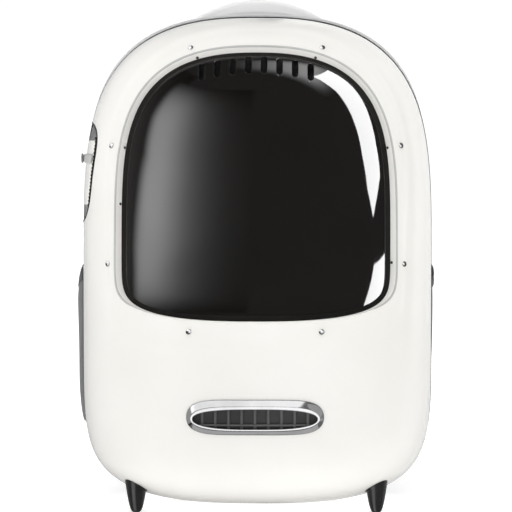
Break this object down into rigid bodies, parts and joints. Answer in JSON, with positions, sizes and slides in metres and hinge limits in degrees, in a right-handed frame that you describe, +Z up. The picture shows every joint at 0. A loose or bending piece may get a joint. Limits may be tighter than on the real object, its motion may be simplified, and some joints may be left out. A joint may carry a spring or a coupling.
{
  "type": "pet carrier backpack",
  "caption": "Hard-shelled backpack for carrying a cat or small dog, with a smoky bubble window, air slots, a chrome air grille, a zip seam, a carry handle and shoulder straps",
  "frame": {"origin": "on the floor under the middle of the carrier's overall box, where it stands on its feet", "axes": "+Z up, the window faces -Y, +X is to the right of a person who looks at the window"},
  "size_m": [0.3242, 0.2734, 0.448],
  "materials": {
    "white_shell": "glossy warm white",
    "light_grey": "satin light grey",
    "dark_zip": "dark woven tape",
    "smoke": "polished smoky acrylic",
    "chrome": "bright plated",
    "dark_plastic": "dark grey moulded",
    "grey_cloth": "plain woven",
    "dark_cloth": "dark grey woven",
    "charcoal": "charcoal moulded"
  },
  "bodies": {
    "root": {"front_shell": "white_shell", "rear_shell_left": "light_grey", "rear_shell_right": "light_grey", "back_panel": "light_grey", "seam_zip": "dark_zip", "window_dome": "smoke", "window_rivet_1": "chrome", "window_rivet_2": "chrome", "window_rivet_3": "chrome", "window_rivet_4": "chrome", "window_rivet_5": "chrome", "window_rivet_6": "chrome", "window_rivet_7": "chrome", "window_rivet_8": "chrome", "grille_frame": "chrome", "grille_louvre": "dark_plastic", "zip_gusset": "grey_cloth", "zip_flap": "white_shell", "zip_teeth": "dark_zip", "zip_slider": "light_grey", "carry_handle": "light_grey", "back_pad": "dark_cloth", "side_pocket_left": "dark_cloth", "side_pocket_right": "dark_cloth", "pocket_hem_left": "dark_zip", "pocket_hem_right": "dark_zip", "foot_front_left": "charcoal", "foot_front_right": "charcoal", "foot_rear_left": "charcoal", "foot_rear_right": "charcoal", "shoulder_strap_left": "dark_cloth", "shoulder_strap_right": "dark_cloth"}
  },
  "joints": []
}
